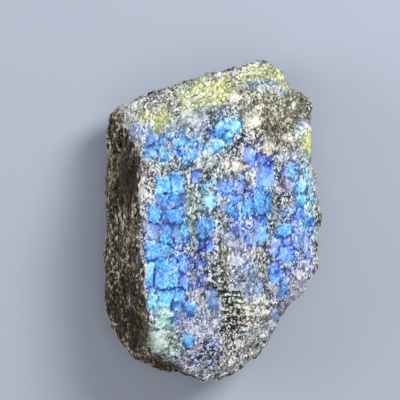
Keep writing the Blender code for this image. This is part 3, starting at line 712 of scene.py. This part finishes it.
# %% Rungs, hollows and the finished skin
LADDER = (6.4, -26.4, 3.8, 5.4, 4)  # where the rungs are, a place like those above
LADDER_FADE = (0.7, 1.2)  # where they start to fade, and where they end
RUNG_STEP = 2.1  # from one rung to the next, mm
RUNG_SWAY = [((1.6, 3.0, 3.0), 0.7, 76)]  # how far rungs stray: size and reach in mm, and seed
RUNG_EDGE = (0.0, 0.7)  # where on the wave a rung starts, and where it is full
RUNG_HEIGHT, RUNG_TONE = 0.3, 0.6  # mm, and of the tone's 0 to 1
# painted shade and highlight: hollows of the relief darken the tone and crests lighten it
HOLLOW_REACH = 2  # points to each side that a hollow is measured against
RELIEF_SHADING_TONE = 1.1  # tone for a millimetre of hollow or crest
DARKEST, LIGHTEST = -0.35, 0.3  # what hollows and crests may do to the tone
CALM_RELIEF_SHADING = 0.7  # how much less of this a pane shows


def blurred(field, reach):
    """The mean over a square window of neighbours: running sums along both axes, taken at the window's four
    corners, over its area. A field may have several values at each point."""
    width = 2 * reach + 1
    more = ((0, 0),) * (field.ndim - 2)
    sums = np.pad(field, ((reach, reach), (reach, reach)) + more, mode="edge").cumsum(0).cumsum(1)
    sums = np.pad(sums, ((1, 0), (1, 0)) + more)
    corners = sums[width:, width:] - sums[:-width, width:] - sums[width:, :-width] + sums[:-width, :-width]
    return corners / width**2


wave = np.sin(2 * math.pi * (base[..., 1] + layered(base, RUNG_SWAY)) / RUNG_STEP)
rungs = 2 * smooth_between(wave, *RUNG_EDGE) - 1
rungs *= 1 - smooth_between(reach_of(spots, LADDER), *LADDER_FADE)
relief += RUNG_HEIGHT * rungs * rough
tone += RUNG_TONE * rungs * rough
# painted shade in the hollows and painted highlight on the crests
hollow = relief - blurred(relief, HOLLOW_REACH)
tone += np.clip(hollow * RELIEF_SHADING_TONE, DARKEST, LIGHTEST) * (1 - CALM_RELIEF_SHADING * calm)
skin = base + normal * relief[..., None]
skin[..., 2] = np.maximum(skin[..., 2], 0)  # nothing dips under the surface that the stone lies on
print("the finished skin is", np.ptp(skin.reshape(-1, 3), axis=0).round(1), "mm")

# %% [markdown]
# ## Closing the resting face
# The grid ends in a rim just above the surface that the stone lies on. Rings of quads carry that rim
# inwards over the resting face, and a point in the middle closes it.

# %% The resting face
RINGS = np.array([0.985, 0.95, 0.87, 0.74, 0.56, 0.34, 0.12])  # each ring's size against the rim
UNEVEN, UNEVEN_CLOUD = 0.18, (9.0, 9.0, 9.0)  # how far the resting face rises from flat, and over what, mm
border = np.concatenate([
    np.arange(ACROSS),
    np.arange(1, ALONG) * ACROSS + ACROSS - 1,
    (ALONG - 1) * ACROSS + np.arange(ACROSS - 2, -1, -1),
    np.arange(ALONG - 2, 0, -1) * ACROSS,
])
skin_points = skin.reshape(-1, 3)
rim = skin_points[border]
middle = np.array([rim[:, 0].mean(), rim[:, 1].mean(), 0.0])
ring_points = middle + (rim - middle) * (RINGS[:, None, None] * (1, 1, 0))
ring_points[1:, :, 2] = UNEVEN * (1 + lumps(ring_points[1:], UNEVEN_CLOUD, 81))
points = np.concatenate((skin_points, ring_points.reshape(-1, 3), middle[None] + (0, 0, UNEVEN)))
count = len(border)
loops = np.concatenate((border[None], len(skin_points) + np.arange(len(RINGS) * count).reshape(-1, count)))
ahead = np.roll(loops, -1, axis=1)
ring_quads = np.stack((ahead[:-1], loops[:-1], loops[1:], ahead[1:]), -1).reshape(-1, 4)
fan = np.stack((ahead[-1], loops[-1], np.full(count, len(points) - 1)), -1)
print(len(ring_quads), "quads and", count, "triangles close the resting face")

# %% [markdown]
# ## One mesh, with its paint on it
# The finishes' numbers now become colours and amounts, stored as attributes on the vertices. The material
# reads them by name. Attributes suit this better than an image: they are part of the mesh and as fine as
# its grid. Two more things happen to the colours. Where its layers tilt away, the flash fades to lavender.
# And thin feldspar lets light through, so each chip takes a share of the colours around it.
#
# The export wants a UV map to bake on, and a grid has one for nothing: its own two parameters.

# %% Colours and amounts of each finish
def linear(colours):
    """sRGB values from 0 to 1 turned linear."""
    colours = np.asarray(colours, float)
    return np.where(colours <= 0.04045, colours / 12.92, ((colours + 0.055) / 1.055) ** 2.4)


def srgb(text):
    """The three sRGB values, from 0 to 1, of a hex colour."""
    return [int(text[k : k + 2], 16) / 255 for k in (1, 3, 5)]


stops = linear([[srgb(text) for text in row[:3]] for row in FINISHES.values()])
amounts = np.array([row[3:] for row in FINISHES.values()])
print(len(stops), "finishes, each with", stops.shape[1], "colours and", amounts.shape[1], "amounts")

# %% Building the stone
stone_faces = grid_faces(ALONG, ACROSS).tolist() + ring_quads.tolist() + fan.tolist()
stone = mesh_object("labradorite_stone", points, stone_faces)
mesh = stone.data
print(len(mesh.polygons), "faces in the stone")

# %% The paint on its points
RESTING = NUMBER["dull_rock"]
FLASHING = ("royal", "azure", "cyan", "pale_blue", "steel")
VIOLET_SHARE = 0.4  # how far the flash fades
VIOLET_CLOUD = (2.2, 3.4, 2.2)  # size of the lumps that tell where it does, mm
VIOLET_FROM, VIOLET_FULL = 0.0, 0.9  # the lumps' values where this starts, and where it is full
BLEED = 0.55  # the share of its colour that a chip takes from around it
BLEED_REACHES = ((3, 0.65), (10, 0.35))  # points to each side that it comes from, and how much from there
CALM_SHARE = 0.5  # how much less of both a calm pane has
COARSENESS, COARSE_CLOUD = 0.4, (4.0, 6.0, 4.0)  # how much grains vary, and the size of such places, mm
CALMING = {"grain": 0.45, "lines": 0.65, "pale_specks_and_painted_glints": 0.4}  # how much weaker each amount is on a calm pane
LACE_REACH = 1.1  # how far the black net goes, against its area's half size


def attribute(name, values, filler):
    """Stores values of the grid's points as a vertex attribute, colours if they come in threes. The points
    of the resting face all get the filler."""
    tail = np.broadcast_to(filler, (len(points) - len(skin_points),) + values.shape[2:])
    flat = np.concatenate((values.reshape((-1,) + values.shape[2:]), tail)).astype(np.float32)
    kind, field = ("FLOAT", "value") if flat.ndim == 1 else ("FLOAT_COLOR", "color")
    if kind == "FLOAT_COLOR":
        flat = np.concatenate((flat, np.ones((len(flat), 1), np.float32)), 1)
    mesh.attributes.new(name, kind, "POINT").data.foreach_set(field, flat.ravel())


flashing = np.isin(finish, [NUMBER[name] for name in FLASHING])
unrest = 1 - CALM_SHARE * calm
fading = VIOLET_SHARE * flashing * smooth_between(lumps(base, VIOLET_CLOUD, 27), VIOLET_FROM, VIOLET_FULL)
fading = (fading * unrest)[..., None]
bleed = BLEED * unrest * (finish != NUMBER["flake"])
for k, name in enumerate(("deep", "body", "light")):
    sharp = stops[finish, k] + fading * (stops[NUMBER["lavender"], k] - stops[finish, k])
    soft = sum(part * blurred(sharp, reach) for reach, part in BLEED_REACHES)
    attribute(name, sharp + bleed[..., None] * (soft - sharp), stops[RESTING, k])
coarse = 1 + COARSENESS * lumps(base, COARSE_CLOUD, 24)
for k, (name, calming) in enumerate(CALMING.items()):
    attribute(name, amounts[finish, k] * coarse * (1 - calming * calm), amounts[RESTING, k])
lace = (reach_of(chip_centre, AREAS["black lace"][0]) < LACE_REACH) & (finish == NUMBER["salt"])
for name, values, filler in (
    ("tone", tone, 0.5), ("fibre", fibre, 0.5), ("crack", crack, 0.0), ("calm", calm, 0.0),
    ("lace", lace * 1.0, 0.0),
):
    attribute(name, values, filler)
print("attributes:", ", ".join(mesh.attributes.keys()))

# %% The UV map
GRID_SHARE = 0.86  # of the map's width
ISLAND, ISLAND_WIDTH = (0.93, 0.5), 0.12  # the resting face is a small island beside the grid
uv = np.zeros((len(points), 2))
uv[: len(skin_points)] = np.stack(((a_grid + 1) / 2 * GRID_SHARE, (b_grid + 1) / 2), -1).reshape(-1, 2)
corner_point = np.zeros(len(mesh.loops), np.int32)
mesh.loops.foreach_get("vertex_index", corner_point)
corner_uv = uv[corner_point]
grid_corners = (ALONG - 1) * (ACROSS - 1) * 4
around = (points[corner_point[grid_corners:], :2] - middle[:2]) / SPAN[:2]
corner_uv[grid_corners:] = ISLAND + around * (ISLAND_WIDTH, ISLAND_WIDTH * SPAN[1] / SPAN[0])
mesh.uv_layers.new(name="OFBake").data.foreach_set("uv", corner_uv.astype(np.float32).ravel())
print(len(corner_uv), "corners in the UV map")

# %% [markdown]
# ## Labradorite as a material
# Feldspar is a clear, glassy mineral, IOR 1.56, split along cleavages into flat panes with a soft gloss.
# Where it was crushed, thousands of crumbs face every way and look matt, but for the few that glint. The
# material mixes the finish's three colours by a tone. The tone starts from the vertices' own value, and
# patterns finer than the mesh move it: crumbs, chips, mottling, the lines between chips and the flank's
# fibres.

# %% Nodes
def add_node(tree, kind, settings=None, inputs=None):
    """Adds one shader node: its options from settings, and each input from a value or another node's output.
    The kind is the node's type without ShaderNode in front."""
    made = tree.nodes.new("ShaderNode" + kind)
    for option, value in (settings or {}).items():
        setattr(made, option, value)
    for socket, value in (inputs or {}).items():
        if isinstance(value, bpy.types.NodeSocket):
            tree.links.new(value, made.inputs[socket])
        else:
            made.inputs[socket].default_value = value
    return made


def hex_colour(text):
    """A hex colour as the linear four values that a socket takes."""
    return (*linear(srgb(text)), 1.0)


def pattern_scale(size):
    """The scale that gives a pattern cells of this size in millimetres, on coordinates in metres."""
    return 1 / (size * MM)


def new_material(name):
    """A material with an empty node tree."""
    made = bpy.data.materials.new(name)
    made.use_nodes = True
    made.node_tree.nodes.clear()
    return made, made.node_tree


# %% [markdown]
# Crumbs are half a millimetre and chips about one and a half, both longer along Y, the way the crystal
# splits. Fibres are as thin as crumbs and more than twice as long. A fine noise bends the coordinates
# first, so that no cell has straight walls, and a broad one makes the fibres sway.

# %% Coordinates
BEND_SIZE, BEND_REACH = 0.9, 0.7  # mm
SWAY_SIZE, SWAY_REACH = 5.0, 3.2  # mm, for the fibres only
CHIP_SCALES = (1.0, 0.68, 1.0)  # along X, Y and Z; below 1 the cells are longer that way
FIBRE_SCALES = (1.0, 0.4, 0.8)
FIBRE_TURN = (0, 0, -0.12)  # fibres lean a little from Y, radians
labradorite, tree = new_material("cleaved_labradorite")
where = add_node(tree, "TexCoord").outputs["Object"]
jolt = add_node(tree, "TexNoise", {}, {"Vector": where, "Scale": pattern_scale(BEND_SIZE)})
centred = add_node(tree, "VectorMath", {"operation": "SUBTRACT"},
                   {0: jolt.outputs["Color"], 1: (0.5,) * 3}).outputs[0]
bent = add_node(tree, "VectorMath", {"operation": "MULTIPLY_ADD"},
                {0: centred, 1: (BEND_REACH * MM,) * 3, 2: where}).outputs[0]
blocky = add_node(tree, "Mapping", {}, {"Vector": bent, "Scale": CHIP_SCALES}).outputs[0]
sway = add_node(tree, "TexNoise", {}, {"Vector": where, "Scale": pattern_scale(SWAY_SIZE)})
swayed = add_node(tree, "VectorMath", {"operation": "MULTIPLY_ADD"},
                  {0: sway.outputs["Color"], 1: (SWAY_REACH * MM,) * 3, 2: bent}).outputs[0]
slender = add_node(tree, "Mapping", {},
                   {"Vector": swayed, "Rotation": FIBRE_TURN, "Scale": FIBRE_SCALES}).outputs[0]

# %% Patterns
CHIP_SIZE, CRUMB_SIZE, FLECK_SIZE, MOTTLE_SIZE, DUST_SIZE = 1.6, 0.5, 0.5, 2.4, 0.3  # mm
painted = {
    name: add_node(tree, "Attribute", {"attribute_name": name}).outputs["Fac"]
    for name in ("tone", "grain", "lines", "pale_specks_and_painted_glints", "crack", "fibre", "calm", "lace")
}
scattered = [
    add_node(tree, "TexVoronoi", {"distance": metric},
             {"Vector": vector, "Scale": pattern_scale(size)})
    for vector, size, metric in (
        (blocky, CHIP_SIZE, "EUCLIDEAN"),
        (blocky, CRUMB_SIZE, "CHEBYCHEV"),
        (slender, FLECK_SIZE, "EUCLIDEAN"),
    )
]
chip, crumb, fleck = (
    add_node(tree, "SeparateColor", {}, {"Color": cells.outputs["Color"]}).outputs
    for cells in scattered
)
chip_edge = add_node(tree, "TexVoronoi", {"feature": "DISTANCE_TO_EDGE"},
                     {"Vector": blocky, "Scale": pattern_scale(CHIP_SIZE)}).outputs["Distance"]
mottle, dust, streak = (
    add_node(tree, "TexNoise", {},
             {"Vector": vector, "Scale": pattern_scale(size), "Detail": detail}).outputs[0]
    for vector, size, detail in (
        (where, MOTTLE_SIZE, 4.0), (where, DUST_SIZE, 2.0), (slender, FLECK_SIZE, 2.0),
    )
)

# %% [markdown]
# Each random cell has a red, a green and a blue number. Red ones set the tone, and the others pick the few
# cells that are painted white, as pale specks and painted highlights. A loop reads the table: where a
# pattern goes from start to full, the tone changes from low to high, times an amount that the paint brings
# along.

# %% The tone
TONES = [
    # pattern, start, full, low, high, amount
    (crumb["Red"], 0.0, 1.0, -0.67, 0.67, painted["grain"]),
    (chip["Red"], 0.0, 1.0, -0.22, 0.22, painted["grain"]),
    (mottle, 0.3, 0.7, -0.15, 0.15, painted["grain"]),
    (dust, 0.3, 0.7, -0.45, 0.45, painted["grain"]),
    (chip_edge, 0.02, 0.12, -0.8, 0.06, painted["lines"]),
    (fleck["Red"], 0.78, 0.94, -0.06, 0.9, painted["fibre"]),
    (streak, 0.3, 0.7, -0.28, 0.28, painted["fibre"]),
    (painted["crack"], 0.1, 0.8, 0.0, -0.8, 1.0),
]
total = painted["tone"]
for pattern, start, full, low, high, amount in TONES:
    change = add_node(tree, "MapRange", {}, {
        "Value": pattern, "From Min": start, "From Max": full, "To Min": low, "To Max": high,
    })
    total = add_node(tree, "Math", {"operation": "MULTIPLY_ADD"},
                     {0: change.outputs[0], 1: amount, 2: total}).outputs[0]

# %% [markdown]
# Colours are laid one over another. The finish's deep colour comes first, its body and light colours cover
# it as the tone rises, and white specks with painted highlights, the dark net of the lattice and the blue
# black of the cracks lie on top. A Mix node for colours has its share at socket 0 and the two colours at 6
# and 7.

# %% The paint
stop = {
    name: add_node(tree, "Attribute", {"attribute_name": name}).outputs["Color"]
    for name in ("deep", "body", "light")
}
LAYERS = [
    # pattern, start, full, the share of the colour at full, colour
    (total, 0.0, 0.5, 1.0, stop["body"]),
    (total, 0.5, 1.0, 1.0, stop["light"]),
    # white on a few crumbs and chips: partly pale feldspar specks, partly highlights painted into the colour
    (crumb["Green"], 0.90, 0.94, painted["pale_specks_and_painted_glints"], hex_colour("#F2F0F0")),
    (chip["Green"], 0.88, 1.1, painted["pale_specks_and_painted_glints"], hex_colour("#E4E0E6")),
    (chip_edge, 0.02, 0.20, painted["lace"], hex_colour("#1E1E1A")),
    (crumb["Blue"], 0.70, 0.74, painted["lace"], hex_colour("#E6E6DC")),
    (painted["crack"], 0.3, 1.0, 1.0, hex_colour("#1C2048")),
]
paint = stop["deep"]
for pattern, start, full, share, colour in LAYERS:
    cover = add_node(tree, "MapRange", {}, {
        "Value": pattern, "From Min": start, "From Max": full, "To Max": share,
    })
    paint = add_node(tree, "Mix", {"data_type": "RGBA"},
                     {0: cover.outputs[0], 6: paint, 7: colour}).outputs[2]

# %% [markdown]
# The gloss goes from dull on crushed rock to glassy on a calm pane. Each crumb also gets a facet of its
# own: the offset from its centre, measured along a random direction, is a little slope, and the Bump node
# turns the slopes into a way to face. So some crumbs catch a lamp, and their neighbours do not.

# %% Gloss and facets
FACET_SLOPE = 0.9  # the steepest that a crumb leans, millimetres in a millimetre
DULL, GLASSY = 0.52, 0.3  # the roughness of crushed rock and of a calm pane
crumbs = scattered[1]
offset_in_cell = add_node(tree, "VectorMath", {"operation": "SUBTRACT"},
                          {0: blocky, 1: crumbs.outputs["Position"]}).outputs[0]
leaning = add_node(tree, "VectorMath", {"operation": "SUBTRACT"},
                   {0: crumbs.outputs["Color"], 1: (0.5,) * 3}).outputs[0]
facet = add_node(tree, "VectorMath", {"operation": "DOT_PRODUCT"},
                 {0: offset_in_cell, 1: leaning}).outputs["Value"]
height = facet
for factor in (FACET_SLOPE, painted["grain"]):
    height = add_node(tree, "Math", {"operation": "MULTIPLY"}, {0: height, 1: factor}).outputs[0]
roughness = add_node(tree, "MapRange", {}, {"Value": painted["calm"], "To Min": DULL, "To Max": GLASSY})
bump = add_node(tree, "Bump", {}, {"Strength": 1.0, "Distance": 1.0, "Height": height})
shader = add_node(tree, "BsdfPrincipled", {}, {
    "Base Color": paint, "Roughness": roughness.outputs[0], "IOR": 1.56, "Specular IOR Level": 0.3,
    "Normal": bump.outputs[0],
})
add_node(tree, "OutputMaterial", {}, {"Surface": shader.outputs[0]})
mesh.materials.append(labradorite)
print(len(tree.nodes), "nodes in the stone's material")

# %% [markdown]
# ## Into the frame
# The stone rides on the only body there is, and stands for the plain solid, which is hidden.

# %% Handing the stone to the frame
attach(stone, "root")
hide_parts(NODE)

# %% [markdown]
# ## Floor, camera and light
# The floor is matt paper, a quiet grey blue that lets the flash stand out. The camera looks straight down,
# as one looks at a stone on a table, from far enough to keep its outline undistorted.

# %% The floor
FLOOR_REACH = 900.0  # mm from the middle to each side
corners = np.array([(-1, -1, 0), (1, -1, 0), (1, 1, 0), (-1, 1, 0)]) * FLOOR_REACH
floor = mesh_object("floor", corners, [(0, 1, 2, 3)])
paper, tree = new_material("matt_backdrop_paper")
matt = {"Base Color": hex_colour("#A5ADBB"), "Roughness": 0.9}
tint = add_node(tree, "BsdfPrincipled", {}, matt)
add_node(tree, "OutputMaterial", {}, {"Surface": tint.outputs[0]})
floor.data.materials.append(paper)

# %% The camera
CAMERA_PLACE = (-3.44, 5.94, 600.0)  # mm
FRAME_WIDTH = 125.0  # how much the camera takes in at the height of the widest section, mm
SENSOR = 36.0  # mm
scene = bpy.context.scene
camera_data = bpy.data.cameras.new("camera")
camera_data.sensor_width = SENSOR
camera_data.lens = SENSOR * (CAMERA_PLACE[2] - WAIST) / FRAME_WIDTH
camera_data.clip_start = 0.01  # m
camera = bpy.data.objects.new("camera", camera_data)
camera.location = [value * MM for value in CAMERA_PLACE]
scene.collection.objects.link(camera)
scene.camera = camera
print("focal length", round(camera_data.lens), "mm")

# %% [markdown]
# A square softbox high on the right, the key light, picks out the grain and throws the left flank into its
# own shade. A weak one low on the left keeps that flank readable. A larger one overhead and a pale room
# fill the shadows.

# %% Lights
def softbox(name, place, size, power):
    """A square area light that shines at the stone's middle. Its turn is a tilt away from straight down, by
    the angle between down and the way to that middle, and then a turn to that way's compass direction."""
    data = bpy.data.lights.new(name, "AREA")
    data.size = size * MM
    data.energy = power
    lamp = bpy.data.objects.new(name, data)
    lamp.location = [value * MM for value in place]
    aim = np.array((0, 0, SPAN[2] / 2)) - place
    tilt = math.atan2(math.hypot(aim[0], aim[1]), -aim[2])
    lamp.rotation_euler = (tilt, 0, math.atan2(aim[1], aim[0]) - math.pi / 2)
    scene.collection.objects.link(lamp)


softbox("key", (380, 330, 560), 260, 5.2)  # place and size in mm, power in watts
softbox("left fill", (-420, 40, 300), 300, 0.8)
softbox("overhead", (60, -120, 900), 700, 2.0)
ROOM_COLOUR, ROOM_STRENGTH = "#E4E6EA", 0.26
world = bpy.data.worlds.new("studio")
scene.world = world
world.use_nodes = True
background = world.node_tree.nodes["Background"]
background.inputs["Color"].default_value = hex_colour(ROOM_COLOUR)
background.inputs["Strength"].default_value = ROOM_STRENGTH
scene.view_settings.view_transform = "Standard"
print(len(bpy.data.lights), "lights and a pale room")
